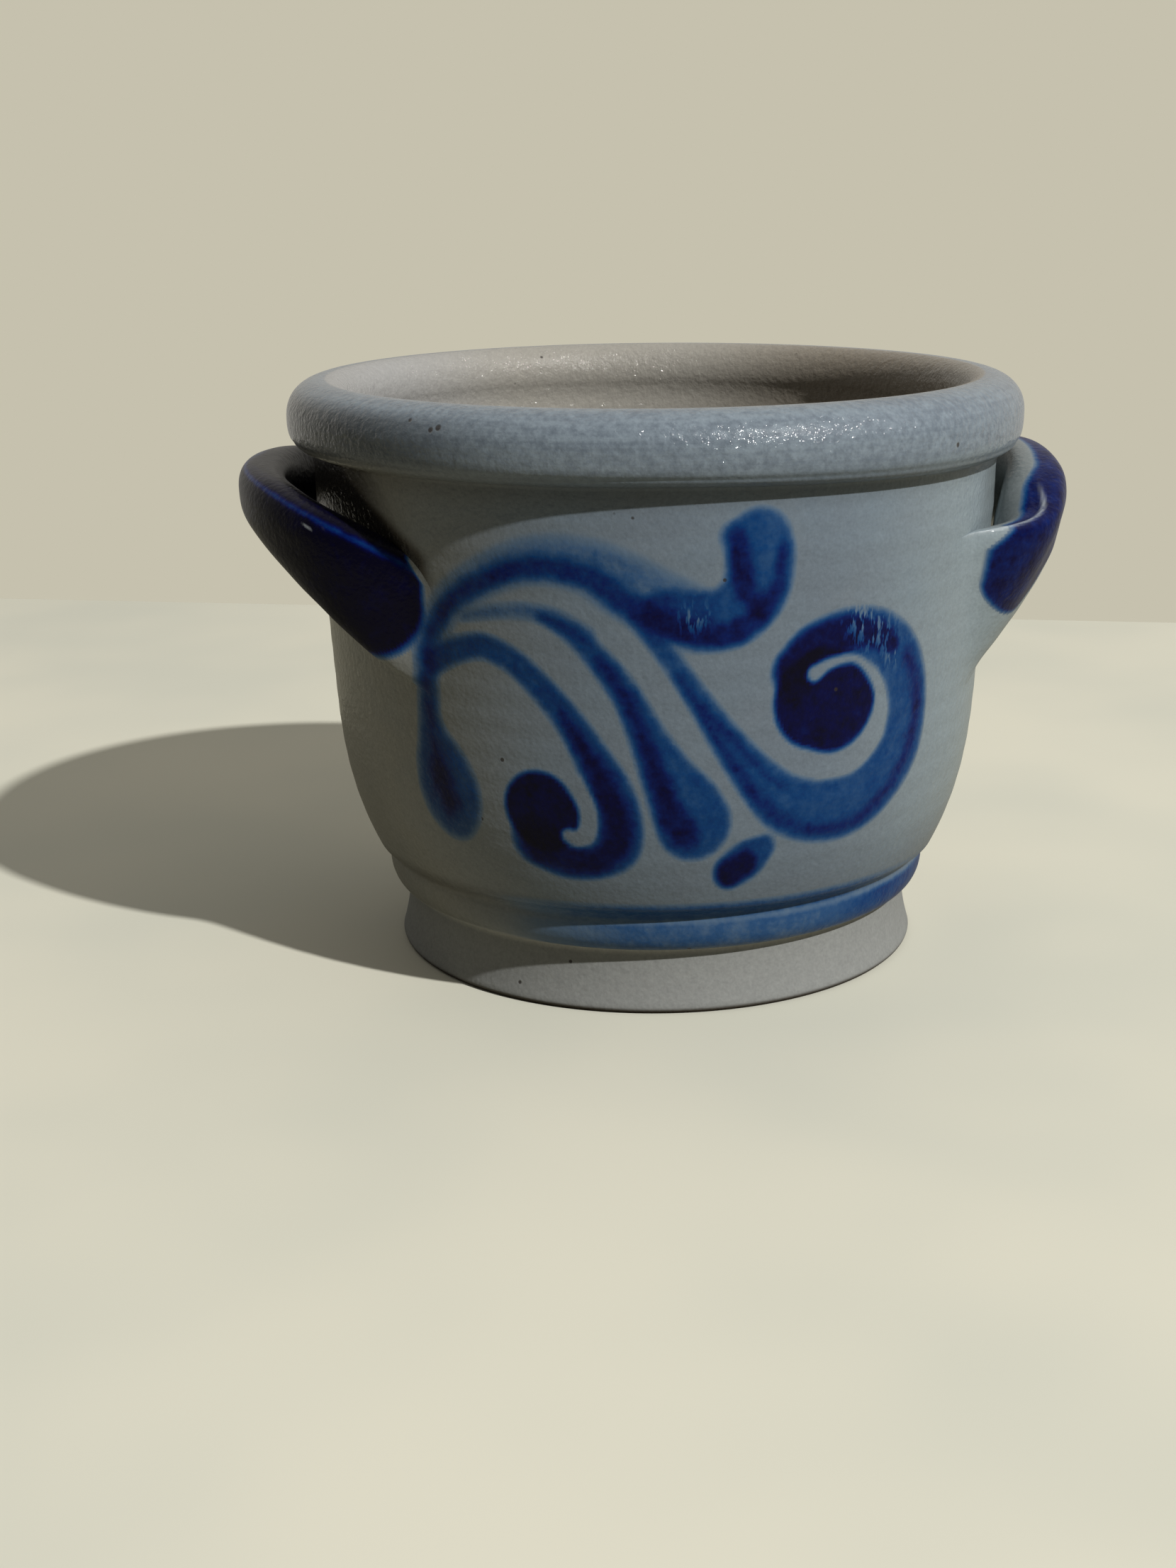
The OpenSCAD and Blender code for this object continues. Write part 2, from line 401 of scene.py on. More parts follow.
# what the brush left bare again inside the two curls
bareHooks = {
    "eyeHook": {"load": 0.95, "soft": 0.8, "path": [
        (18, 42.7, 1.0), (20.6, 43.6, 0.7), (25, 43.9, 0.6), (28.6, 42, 0.75), (31, 39.2, 0.9),
        (31.5, 36, 1.05), (29.8, 33.2, 1.1), (26, 31.3, 1.1), (20, 31, 1.1)]},
    "lowHook": {"load": 0.97, "soft": 0.8, "path": [
        (-19.6, 31.2, 0.4), (-17.9, 27.8, 0.7), (-18.4, 25, 1.0), (-20.2, 23.8, 1.1),
        (-21.8, 24.1, 0.9)]},
}


# where the brush skipped over the rough glaze: (degrees, height, reach)
brushSkips = [(29.5, 46.8, 4.6), (25.5, 48.8, 3.2), (33.5, 43.5, 2.6), (-1.5, 50.2, 2.6)]
skipSpread = 0.6  # share of the reach over which a skip dies away

degree = math.radians(1) * pot["neckRadius"]  # millimetres along the wall
pathSteps = 10  # between two points of a stroke or two rows of a strap


def skipped(turn, z):
    gaps = 0
    for place, height, reach in brushSkips:
        away = ((turn - place) * degree) ** 2 + (z - height) ** 2
        gaps = gaps + np.exp(-away / (skipSpread * reach) ** 2)
    return np.clip(gaps, 0, 1)


def smoothPath(path):
    points = np.array(path, float)
    padded = np.concatenate([[2 * points[0] - points[1]], points, [2 * points[-1] - points[-2]]])
    t = np.linspace(0, 1, pathSteps, endpoint=False)[:, None]
    line = []
    for a, b, c, d in zip(padded, padded[1:], padded[2:], padded[3:]):
        line.append(0.5 * (2 * b + (c - a) * t + (2 * a - 5 * b + 4 * c - d) * t ** 2
                           + (3 * b - a - 3 * c + d) * t ** 3))
    return np.concatenate(line + [points[-1:]])


def brushed(stroke, turn, z):
    # how much cobalt one stroke leaves at each point
    line = smoothPath(stroke["path"])
    line[:, 0] *= degree
    here = np.stack([turn * degree, z], -1)
    gap = np.full(turn.shape, np.inf)
    for start, end in zip(line, line[1:]):
        run = end[:2] - start[:2]
        share = np.clip(((here - start[:2]) @ run) / max(run @ run, 1e-9), 0, 1)
        away = np.linalg.norm(here - start[:2] - share[..., None] * run, axis=-1)
        gap = np.minimum(gap, away - start[2] - share * (end[2] - start[2]))
    return stroke["load"] * fade(gap / stroke["soft"], -0.5, 0.5)


def cobaltOnWall(turn, z):
    bare = np.ones(turn.shape)
    for stroke in brushwork.values():
        bare *= 1 - brushed(stroke, turn, z)
    cobalt = 1 - bare
    for hook in bareHooks.values():
        cobalt *= 1 - brushed(hook, turn, z)
    return cobalt


# the band round the ridge: each pair is where a change starts and ends, in millimetres up or
# degrees round
band = {
    "low": (8.0, 8.7), "ridge": (11.6, 12.5), "cove": (11.8, 12.9), "top": (14.2, 15.5),
    "ridgeLoad": 0.37, "coveLoad": 0.5,
    "left": (-46, -8), "back": (90, 150),  # where the brush ran dry
    "darker": (20, 50), "darkerBy": 0.75,
    "bare": (25, 55), "bareBy": 0.7,
}


def cobaltOnBand(turn, z):
    ridge = band["ridgeLoad"] * step(z, *band["low"]) * fade(z, *band["ridge"])
    cove = band["coveLoad"] * step(z, *band["cove"]) * fade(z, *band["top"])
    ridge *= 1 + band["darkerBy"] * step(turn, *band["darker"])
    cove *= 1 - band["bareBy"] * step(turn, *band["bare"])
    return np.minimum(1, (ridge + cove) * step(turn, *band["left"]) * fade(turn, *band["back"]))


# the glaze's warmer tone from the kiln, then painted light on the right side, and painted shade under
# the roll, in the cove and in the corner by the left strap, with pairs like the band's
kiln = {
    "leastWarm": 0.15, "warmLeft": (-62, -15), "warmRight": (75, 110),
    "paleNear": (15, 60), "paleFar": (52, 76), "paleFarShare": 0.35,
    "paleEnd": (85, 115), "paleUp": (13, 24),
    "rollDepth": 0.3, "rollUp": (61, 64), "rollEnd": (64.6, 65.4),
    "coveDepth": 0.4, "coveUp": (12.2, 13), "coveEnd": (14.4, 15.6),
    "coveClear": (25, 55), "coveClearBy": 0.5,
    "cornerPlace": (-45, 55.4), "cornerSlope": 0.42, "cornerEdge": (-1, 1.5),
}

# painted shade behind and beside the straps, where their shadow falls on the wall
strapShadeZones = {
    "leftStrap": {"depth": 0.9, "from": (-128, -112), "to": (-62, -50), "up": (50, 57)},
    "leftCorner": {"depth": 1.3, "from": (-128, -112), "to": (-47, -43), "up": (50, 52)},
    "rightStrap": {"depth": 0.35, "from": (54, 64), "to": (100, 120), "up": (52, 60)},
}


def warmth(turn):
    # the fire left the glaze browner away from the painted front
    sides = np.maximum(fade(turn, *kiln["warmLeft"]), step(turn, *kiln["warmRight"]))
    return kiln["leastWarm"] + (1 - kiln["leastWarm"]) * sides


def paintedSideLight(turn, z):
    # painted light: paler glaze towards the right side, where the light falls brighter and the glaze
    # catches a sheen at its edge
    far = kiln["paleFarShare"]
    pale = (1 - far) * step(turn, *kiln["paleNear"]) + far * step(turn, *kiln["paleFar"])
    return pale * fade(turn, *kiln["paleEnd"]) * step(z, *kiln["paleUp"])


def strapShadeAt(name, turn, z):
    place = strapShadeZones[name]
    return place["depth"] * step(turn, *place["from"]) * fade(turn, *place["to"]) * step(z, *place["up"])


def recess(turn, z):
    # painted shade: darker glaze in the cove, under the roll, and behind and beside the straps, where
    # shade falls
    cornerTurn, cornerHeight = kiln["cornerPlace"]
    above = z - cornerHeight + kiln["cornerSlope"] * (turn - cornerTurn)
    corner = strapShadeAt("leftCorner", turn, z) * fade(above, *kiln["cornerEdge"])
    roll = kiln["rollDepth"] * step(z, *kiln["rollUp"])
    left, right = strapShadeAt("leftStrap", turn, z), strapShadeAt("rightStrap", turn, z)
    deepest = np.maximum.reduce([roll, corner, left, right])
    cove = kiln["coveDepth"] * step(z, *kiln["coveUp"]) * fade(z, *kiln["coveEnd"])
    cove *= 1 - kiln["coveClearBy"] * step(turn, *kiln["coveClear"])
    return deepest * fade(z, *kiln["rollEnd"]) + cove


def meshPiece(name, points, faces, marks):
    mesh = bpy.data.meshes.new(name)
    mesh.from_pydata((points * mm).tolist(), [], faces)
    mesh.polygons.foreach_set("use_smooth", np.ones(len(faces), bool))
    for mark, values in marks.items():
        layer = mesh.attributes.new(mark, "FLOAT", "POINT")
        layer.data.foreach_set("value", np.ascontiguousarray(values, np.float32))
    mesh.update()
    piece = bpy.data.objects.new(name, mesh)
    bpy.context.collection.objects.link(piece)
    return piece


def offTrue(a, z):
    # how far the hand-thrown wall stands from its true radius, towards angle a
    wave = pot["wobble"] * step(z, 14, 60) * (np.sin(2 * a + 0.6) + 0.6 * np.sin(3 * a + z / 20) - 1.2)
    ringed = step(z, 15, 20) * fade(z, 60, 64)
    return wave + pot["ringDepth"] * np.sin(z * 1.9 + 0.5 * np.sin(a * 2)) * ringed


def settled(turn, z, outside):
    # the height of each point after the rim dipped to one side and the roll sagged on the right
    dip = pot["rimDip"] * step(z, 62, 72) * (np.cos(np.radians(turn) + 1.0) - 1) / 2
    sag = pot["rimSag"] * step(turn, -10, 50) * fade(turn, 120, 170)
    return z + dip - sag * outside * step(z, 55, 64.4) * fade(z, 64.6, 69)


def potTurns():
    reach = pot["frontReach"]
    front = np.arange(-reach, reach, pot["frontStep"])
    back = np.linspace(reach, 360 - reach, int((360 - 2 * reach) / pot["backStep"]), endpoint=False)
    turn = np.concatenate([front, back])
    return np.where(turn > 180, turn - 360, turn)


def potCobalt(turn, z, outside):
    cobalt = np.zeros(turn.shape)
    painted = outside & (z > pot["paintLow"]) & (z < pot["paintTop"]) & (np.abs(turn) < pot["paintReach"])
    cobalt[painted] = cobaltOnWall(turn[painted], z[painted])
    onBand = outside & (z < pot["paintLow"]) & (z > pot["bandLow"])
    cobalt[onBand] = cobaltOnBand(turn[onBand], z[onBand])
    return cobalt


def throwPot():
    line, inside = potProfile()
    outside = ~inside[:, None]
    turn = potTurns()
    a = np.radians(turn)
    radius, z = line[:, 0][:, None], line[:, 1][:, None]
    reach = radius + offTrue(a, z) * np.minimum(1, radius / 20)  # true again near the axis
    z = settled(turn, z, outside)
    grid = np.stack([reach * np.sin(a), -reach * np.cos(a), z], -1)
    rows, columns = reach.shape
    turns = np.broadcast_to(turn, reach.shape)
    number = np.arange(rows * columns).reshape(rows, columns)
    after = np.roll(number, -1, 1)
    faces = np.stack([number[:-1], after[:-1], after[1:], number[1:]], -1).reshape(-1, 4).tolist()
    faces += [[after[0, k], number[0, k], rows * columns] for k in range(columns)]
    faces += [[number[-1, k], after[-1, k], rows * columns + 1] for k in range(columns)]
    middles = np.array([[0, 0, 0], [0, 0, pot["floor"]]])
    marks = {
        "cobalt": potCobalt(turns, z, outside),
        "inside": inside[:, None] + 0 * reach,
        "warm": warmth(turns),
        "pale": paintedSideLight(turns, z),
        "recess": recess(turns, z) * outside,
        "skip": skipped(turns, z) * outside,
    }
    marks = {mark: np.append(values.ravel(), [0, mark == "inside"]) for mark, values in marks.items()}
    return meshPiece("thrown_body", np.concatenate([grid.reshape(-1, 3), middles]), faces, marks)


# pulled strap handles, each with its own shape

# Each row: degrees from the crest, top and bottom heights, how far the outer and the inner
# face stand out from the wall, and how far the top leans out
# A load is how much cobalt was brushed on: on the outer face, on the top edge and on the inner face
# The "end" is where the paint stops on the outer face, in degrees from the crest, and how fast that
# end rounds off below which part of its width. "topReach" is how far through the strap the top edge
# is painted, how that grows along it and from where, and "crestReach" is what is left bare at the crest
# The "arris" is the line of the top edge: how far through the strap, how it moves along it, and up to
# where. It stands up by "ridge", and the key after that paints it paler, partly as wear of the glaze and
# partly as a painted highlight. The key after that lightens the paint in a line along the top of the
# outer face, a painted highlight, and each chip is a painted glint, given as (degrees, across, size)
straps = {
    "left_strap": {
        # the left strap's top and inner faces carry the darkest cobalt, partly as painted shade where the
        # rim's shadow lies over them
        "node": "left_handle", "side": -1, "back": 2.9, "fullness": 2.8, "feather": 0.6,
        "load": 1.0, "topLoad": 1.0, "innerLoad": 1.0, "crestBare": 0.6,
        "topReach": (-1.0, 0, 0), "crestReach": 0.0,
        "end": (47, 0.35, 5.4, 1.75), "arris": (0.6, 0, 0), "ridge": 0.05, "worn": 0.0, "topHighlight": 0.28,
        "glints": [(30.9, 0.67, 0.8), (33.3, 0.81, 0.9)], "rows": [
            (0, 62.8, 57, 9.4, 3.6, 0), (10, 62.7, 55.8, 9.4, 3.6, 0), (20, 62.1, 53.4, 8.8, 3.4, 0),
            (30, 60.3, 48.9, 7.1, 2.2, -0.1), (36, 58.6, 45, 5.2, 0.4, -0.2),
            (41, 56.6, 41.4, 2.8, -2.4, -0.3), (45, 54.9, 39.6, 0.6, -5, -0.3),
            (50, 53, 38.8, -1.6, -7, -0.3), (55, 52, 38.6, -4, -8, -0.3)]},
    "right_strap": {
        "node": "right_handle", "side": 1, "back": 2.9, "fullness": 3.4, "feather": 0.8,
        "load": 0.88, "topLoad": 0.86, "innerLoad": 0.0, "crestBare": 0.0,
        "topReach": (-0.45, 0.07, 26), "crestReach": 0.45,
        "end": (36.8, 0.37, 27, 2), "arris": (0.53, 0.033, 37), "ridge": 0.22, "worn": 0.6, "topHighlight": 0.0,
        "glints": [], "rows": [
            (0, 62.7, 51.2, 9.2, 2.8, -0.6), (8, 62.3, 50.4, 9.2, 2.2, -0.4),
            (15, 61.2, 47.2, 8.7, 0.2, 0.8), (20, 59.7, 42.6, 7.4, -1.8, 2.4),
            (24, 57.9, 38.6, 6, -2.4, 3.8), (27, 56.8, 36.8, 5, -2.6, 4.2),
            (30, 56.2, 36, 3.9, -3, 4), (33, 55.9, 35.8, 2.6, -3.6, 3.4), (36, 55.7, 36, 1.1, -4, 2.4),
            (39, 55.5, 36.5, -0.5, -4.6, 1.2), (42, 55.3, 37, -1.8, -5, 0.4), (48, 55, 38, -4, -6, 0)]},
}

strapShape = {
    "rings": 240, "sides": 120, "sectionSteps": 3000,
    "tall": 1.6,          # how much taller than thick the section is when its points are spaced
    "under": 0.03,        # how deep the buried part lies below the wall's face
    "arrisWidth": 0.14, "arrisOver": (14, 24),
    "wearAndGlintWidth": 0.06, "wearAndGlintOver": (20, 26), "wearAndGlintEnd": (39, 43), "glintWidth": 0.014,
    "paintEnd": (-0.9, 0.7), "topEdge": (0.85, 0.97), "topEnd": (0.35, 0.75), "innerEdge": 0.14,
    "endLift": 2.9, "endLiftOver": (0.75, 0.95),  # how much shorter the paint is along the top edge
    "crest": (-6, 5.0), "crestBareOver": (0, 0.6), "crestEnd": (14, 25),  # crest: middle and width
    # painted highlight: a lighter line along the top of the outer face, its middle and width
    "topHighlight": (0.86, 0.05), "topHighlightOver": (0.4, 0.7),  # thin: middle and width
}


def squared(part, fullness):
    return np.sign(part) * np.abs(part) ** (2 / fullness)


def bell(value, middle, width):
    return np.exp(-((value - middle) / width) ** 2)


def sectionAngles(fullness):
    # the angles that space the section's points evenly along its outline
    b = np.linspace(0, 2 * np.pi, strapShape["sectionSteps"] + 1)
    across, through = (np.diff(squared(part, fullness)) for part in (np.cos(b), np.sin(b)))
    walked = np.append(0, np.cumsum(np.hypot(across * strapShape["tall"], through)))
    return np.interp(np.linspace(0, walked[-1], strapShape["sides"], endpoint=False), walked, b)


def strapGrid(strap):
    # v is in degrees from the crest, across runs from the lower edge up to the top edge, and
    # through runs from the inner to the outer face, both from -1 to 1
    rows = np.array([(-strap["rows"][1][0], *strap["rows"][1][1:])] + strap["rows"], float)
    shape = smoothPath(rows)
    v = np.linspace(-rows[-1, 0], rows[-1, 0], strapShape["rings"])[:, None]
    at, *columns = shape.T
    top, bottom, outer, inner, lean = (np.interp(np.abs(v), at, column) for column in columns)
    b = sectionAngles(strap["fullness"])
    across = squared(np.cos(b), strap["fullness"]) + 0 * v
    through = squared(np.sin(b), strap["fullness"]) + 0 * v
    z = (top + bottom) / 2 + (top - bottom) / 2 * across
    stand = (outer + inner) / 2 + (outer - inner) / 2 * through + lean * across
    return v + 0 * b, across, through, z, stand


def slant(strap, v, across):
    # degrees from the crest, as far as the paint's round end is concerned
    _, below, speed, power = strap["end"]
    low, high = strapShape["endLiftOver"]
    top = strapShape["endLift"] * np.clip((across - low) / (high - low), 0, 1)
    return np.abs(v) + top + speed * np.clip(below - across, 0, None) ** power


def strapPaint(strap, v, across, through):
    out, end = np.abs(v), strap["end"][0]
    early, late = strapShape["paintEnd"]
    painted = fade(slant(strap, v, across), end + early, end + late)
    start, drift, since = strap["topReach"]
    reached = start + drift * np.clip(out - since, 0, None)
    reached += strap["crestReach"] * fade(out, *strapShape["crestEnd"])
    onTop = step(across, *strapShape["topEdge"]) * fade(through, *strapShape["topEnd"])
    crest = bell(v, *strapShape["crest"]) * step(through, *strapShape["crestBareOver"])
    # painted highlight: less cobalt in a line along the top of the outer face
    topHighlight = bell(across, *strapShape["topHighlight"]) * step(through, *strapShape["topHighlightOver"])
    load = strap["load"] + (strap["topLoad"] - strap["load"]) * onTop
    load = load * (1 - strap["crestBare"] * crest) * (1 - strap["topHighlight"] * topHighlight)
    inner = fade(through, reached - strapShape["innerEdge"], reached + strapShape["innerEdge"])
    return painted * load * (1 - inner) + strap["innerLoad"] * inner * fade(out, end - 7, end - 1)


def strapWearAndGlint(strap, v, across, through, line):
    # partly wear of the glaze along the top edge, partly painted highlight, and the chips are painted
    # glints
    worn = strap["worn"] * bell(through, line, strapShape["wearAndGlintWidth"]) * step(across, 0.8, 0.9)
    worn *= step(np.abs(v), *strapShape["wearAndGlintOver"]) * fade(np.abs(v), *strapShape["wearAndGlintEnd"])
    for place, width, size in strap["glints"]:
        away = np.hypot((v - place) / size, (across - width) / strapShape["glintWidth"])
        worn = np.maximum(worn, fade(away, 0.6, 1.4) - 0.4)
    return worn


def wallPaintOn(turn, z, stand):
    # the brushwork runs on over the clay smeared out at the strap's root
    near = (stand < 1.2) & (np.abs(turn) < pot["paintReach"])
    cobalt = np.zeros(z.shape)
    cobalt[near] = cobaltOnWall(turn[near], z[near])
    return cobalt * fade(stand, 0.2, 1.2)


def pullStrap(name):
    strap = straps[name]
    v, across, through, z, stand = strapGrid(strap)
    place, drift, since = strap["arris"]
    line = place - drift * np.clip(since - np.abs(v), 0, None)
    raised = step(across, 0.7, 0.95) * step(np.abs(v), *strapShape["arrisOver"])
    z = z + strap["ridge"] * bell(through, line, strapShape["arrisWidth"]) * raised
    angle = np.radians(90 + strap["back"] - v) * strap["side"]
    turned = np.degrees(angle)
    stand = strap["feather"] * np.logaddexp(0, stand / strap["feather"]) - strapShape["under"]
    reach = stand + wallRadius(z) + offTrue(angle, z)
    grid = np.stack([reach * np.sin(angle), -reach * np.cos(angle), z], -1)
    bare = (1 - strapPaint(strap, v, across, through)) * (1 - wallPaintOn(turned, z, stand))
    number = np.arange(z.size).reshape(z.shape)
    after = np.roll(number, -1, 1)
    faces = np.stack([number[:-1], number[1:], after[1:], after[:-1]], -1).reshape(-1, 4).tolist()
    faces += [number[0].tolist(), number[-1].tolist()[::-1]]
    if strap["side"] > 0:
        faces = [face[::-1] for face in faces]
    marks = {
        "cobalt": 1 - bare,
        "inside": 0 * z,
        "warm": warmth(turned),
        "pale": paintedSideLight(turned, z),
        "worn": strapWearAndGlint(strap, v, across, through, line),
        # painted shade: the inner face, towards the wall, darker and browner
        "recess": 0.5 * fade(through, -0.3, 0.3) * step(stand, 0, 1),
    }
    marks = {mark: values.ravel() for mark, values in marks.items()}
    return meshPiece(name, grid.reshape(-1, 3), faces, marks)


# the salt glaze: grey-blue over stone-grey clay, with cobalt where it was brushed

glaze = {
    "wall": paint(107, 121, 135),
    "wallCool": paint(100, 115, 132),
    "wallWarm": paint(132, 132, 126),
    # painted light: the paler glaze on the right side
    "wallPaintedLight": paint(150, 163, 168),
    "rim": paint(126, 138, 149),
    "rimDark": paint(106, 117, 129),
    "rimShade": paint(60, 65, 70),
    "inside": paint(156, 153, 146),
    "insideLeft": paint(160, 160, 160),
    # painted shade: darker and browner inside on the right, where the rim's shadow falls
    "insideShadeRight": paint(132, 124, 112),
    "insideDeep": paint(120, 114, 103),
    "foot": paint(139, 141, 140),
    # painted light: a paler strip on the foot just under the ridge, where the ridge's shadow falls
    "footUnderRidgeLight": paint(172, 172, 168),
    # painted shade: dark brown round the foot's lowest millimetre, where it meets the board
    "footEdge": paint(62, 54, 46),
    "fleck": paint(46, 40, 38),
    # partly wear, partly painted highlight: the pale line on the straps' top edges and their painted
    # glints
    "worn": paint(176, 184, 190),
    # painted shade: brown-grey for the shade under the roll, in the cove and by the straps, and near
    # black for the deepest shade beside the left strap
    "recess": paint(66, 62, 56),
    "deep": paint(22, 19, 17),
    "mottleDark": (0.76, 0.76, 0.77, 1),
    "mottleLight": (1.2, 1.2, 1.19, 1),
}

# small pits that burst in the glaze: (degrees right of the front, height, radius of the pot, size)
pits = [
    (-38.6, 70.6, 45.2, 0.5), (-39.8, 70.3, 45.3, 0.42), (-44, 71.2, 44.9, 0.4), (40.4, 67.1, 45.8, 0.38),
    (-37.4, 2.3, 33.3, 0.34), (-25.8, 5.8, 32.7, 0.32), (22, 40.5, 41.5, 0.3),
]

# from bare glaze to the most cobalt
cobaltStops = [
    (0.0, paint(107, 121, 135)),
    (0.2, paint(82, 105, 131)),
    (0.4, paint(42, 78, 121)),
    (0.6, paint(5, 57, 110)),
    (0.8, paint(0, 26, 88)),
    (0.92, paint(0, 4, 56)),
    (1.0, paint(4, 2, 24)),
]


# size in millimetres, detail and roughness of each noise
noises = {
    "grain": (0.9, 3.0, 0.6),
    "cloud": (9.0, 3.0),
    "fine": (0.35, 2.0),
    "drag": (2.2, 3.0, 0.6),
    "leather": (1.1, 3.0, 0.65),
    "pick": (5.0, 1.0),
}

# where one tone gives way to the next, in millimetres up, and for the last three to the side
edges = {
    "onRim": (64.5, 67.0), "rimShade": (72.2, 70.5), "deep": (66, 44), "foot": (8.4, 7.6),
    "footUnderRidgeLight": (7.0, 7.8), "footUnderRidgeLightEnd": (9.0, 8.4), "footEdge": (0.9, 0.2), "dry": (8.6, 7.4),
    "rimLeft": (-14, -36), "insideLeft": (-36, -12), "insideShadeRight": (6, 34),
}


# the glaze's shader, one part of it in each method
class Glaze(Net):
    def __init__(self, owner):
        super().__init__(owner)
        self.here = self.place()
        self.sideways = self.node("ShaderNodeSeparateXYZ", None, {0: self.here}, 0)
        self.height = self.node("ShaderNodeSeparateXYZ", None, {0: self.here}, 2)
        self.inside = self.attribute("inside")
        self.warm = self.attribute("warm")
        self.onRim = self.up("onRim")
        self.grain = self.speckle("grain")
        self.fine = self.speckle("fine")
        self.throwing = self.noise(self.here.stretch(0.06, 0.06, 1.6), 1.0, 3.0)

    def up(self, edge):
        return self.height.ramp(*edges[edge])

    def along(self, edge):
        return self.sideways.ramp(*edges[edge])

    def speckle(self, name):
        return self.noise(self.here, *noises[name])

    def wall(self):
        cloud, paintedShadeAmount = self.speckle("cloud"), self.attribute("recess")
        wall = self.blend(cloud.ramp(0.35, 0.7), glaze["wall"], glaze["wallCool"])
        wall = self.blend((self.warm + (cloud - 0.5) * 0.5).clip(), wall, glaze["wallWarm"])
        # painted light on the right side
        wall = self.blend(self.attribute("pale"), wall, glaze["wallPaintedLight"])
        # painted shade, and near black where it runs past one
        wall = self.blend(paintedShadeAmount.clip(), wall, glaze["recess"])
        return self.blend((paintedShadeAmount - 1.0).clip() * 3.0, wall, glaze["deep"])

    def rim(self):
        streak = (self.throwing * 0.45 + self.grain * 0.55).ramp(0.35, 0.65)
        rim = self.blend(streak, glaze["rimDark"], glaze["rim"])
        # painted shade: the roll's front darker on the left, where the light only grazes it
        shaded = self.warm * self.up("rimShade") * (self.along("rimLeft") * 0.8)
        return self.blend(shaded, rim, glaze["rimShade"])

    def bowl(self):
        bowl = self.blend(self.along("insideLeft"), glaze["insideLeft"], glaze["inside"])
        # painted shade: darker and browner towards the right of the inside, where the rim's shadow falls
        bowl = self.blend(self.along("insideShadeRight"), bowl, glaze["insideShadeRight"])
        return self.blend(self.up("deep"), bowl, glaze["insideDeep"])

    def body(self):
        body = self.blend(self.onRim, self.wall(), self.rim())
        body = self.blend(self.inside, body, self.bowl())
        body = self.blend(self.up("foot"), body, glaze["foot"])
        # painted light: a paler strip on the foot just under the ridge, where the ridge's shadow falls
        body = self.blend(self.up("footUnderRidgeLight") * self.up("footUnderRidgeLightEnd"), body, glaze["footUnderRidgeLight"])
        # painted shade: a dark line round the foot's lowest millimetre, where it meets the board
        body = self.blend(self.up("footEdge"), body, glaze["footEdge"])
        mottle = ((self.grain - 0.5) * 0.6 + (self.fine - 0.5) * 0.7 + 0.5).clip()
        dark = self.blend(1.0, body, glaze["mottleDark"], "MULTIPLY")
        light = self.blend(1.0, body, glaze["mottleLight"], "MULTIPLY")
        return self.blend(mottle, dark, light)

    def cobalt(self):
        # the cobalt as it dried, uneven within a stroke and missing where the brush skipped
        cobalt = self.attribute("cobalt")
        uneven = (self.grain - 0.5) * 0.25 + (self.speckle("drag") - 0.5) * 0.35
        bristles = self.noise(self.here.stretch(1.9, 1.9, 0.5), 1.0, 2.0, 0.6).ramp(0.5, 0.62)
        missed = self.attribute("skip") * bristles * 0.75
        return (cobalt + uneven * cobalt.ramp(0.02, 0.4) * cobalt.ramp(1.1, 0.8)).clip() * (1 - missed)

    def flecks(self):
        fleck = self.cells(self.here, 3.4).ramp(0.09, 0.05) * self.speckle("pick").ramp(0.62, 0.66)
        for turn, z, reach, size in pits:
            a = math.radians(turn)
            values = {0: self.here, 1: (reach * math.sin(a), -reach * math.cos(a), z)}
            away = self.node("ShaderNodeVectorMath", {"operation": "DISTANCE"}, values, 1)
            fleck = fleck + away.ramp(size, size * 0.5)
        return fleck.clip()

    def relief(self, fleck):
        # in millimetres: orange peel, a finer grain, the leathery skin, throwing lines and pits
        skin = self.inside * 0.12 + self.onRim * 0.05 + 0.1
        relief = self.cells(self.here, 0.55, "SMOOTH_F1") * 0.05 + self.fine * 0.015
        relief = relief + self.speckle("leather") * skin + self.throwing * self.onRim * 0.03
        return relief - fleck * 0.06

    def bump(self, relief, strength, distance):
        values = {"Strength": strength, "Distance": distance * mm, "Height": relief}
        return self.node("ShaderNodeBump", None, values)


def saltGlaze():
    material = bpy.data.materials.new("salt_glaze")
    net = Glaze(material)
    cobalt, fleck, dry = net.cobalt(), net.flecks(), net.up("dry")
    blue = net.node("ShaderNodeValToRGB", {"stops": cobaltStops}, {0: cobalt})
    colour = net.blend(cobalt.ramp(0.0, 0.14), net.body(), blue)
    # partly wear, partly painted highlight and painted glints on the straps' top edges
    worn = net.attribute("worn") * (net.grain.ramp(0.3, 0.5) * 0.5 + 0.5)
    colour = net.blend(worn, colour, glaze["worn"])
    relief = net.relief(fleck)
    net.shader({
        "Base Color": net.blend(fleck * 0.85, colour, glaze["fleck"]),
        "Roughness": 0.42 + dry * 0.3 + (net.grain - 0.5) * 0.1 - cobalt * 0.06,
        "Specular IOR Level": 0.12,
        "Normal": net.bump(relief, 0.5, 1),
        "Coat Weight": 0.5 - dry * 0.45 - cobalt * 0.38 + net.onRim * 0.4,
        "Coat Roughness": 0.06,
        "Coat IOR": 1.4,
        "Coat Normal": net.bump(relief, 1.0, 2),
    })
    return material


glazeMaterial = saltGlaze()


def dress(piece, node):
    piece.data.materials.append(glazeMaterial)
    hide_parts(node)
    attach(piece, "root")


dress(throwPot(), "thrown_pot")
print("pot thrown and painted")
for strapName in straps:
    dress(pullStrap(strapName), straps[strapName]["node"])
print("handles pulled")


# a plain pale board, with the backdrop as the world behind its far edge

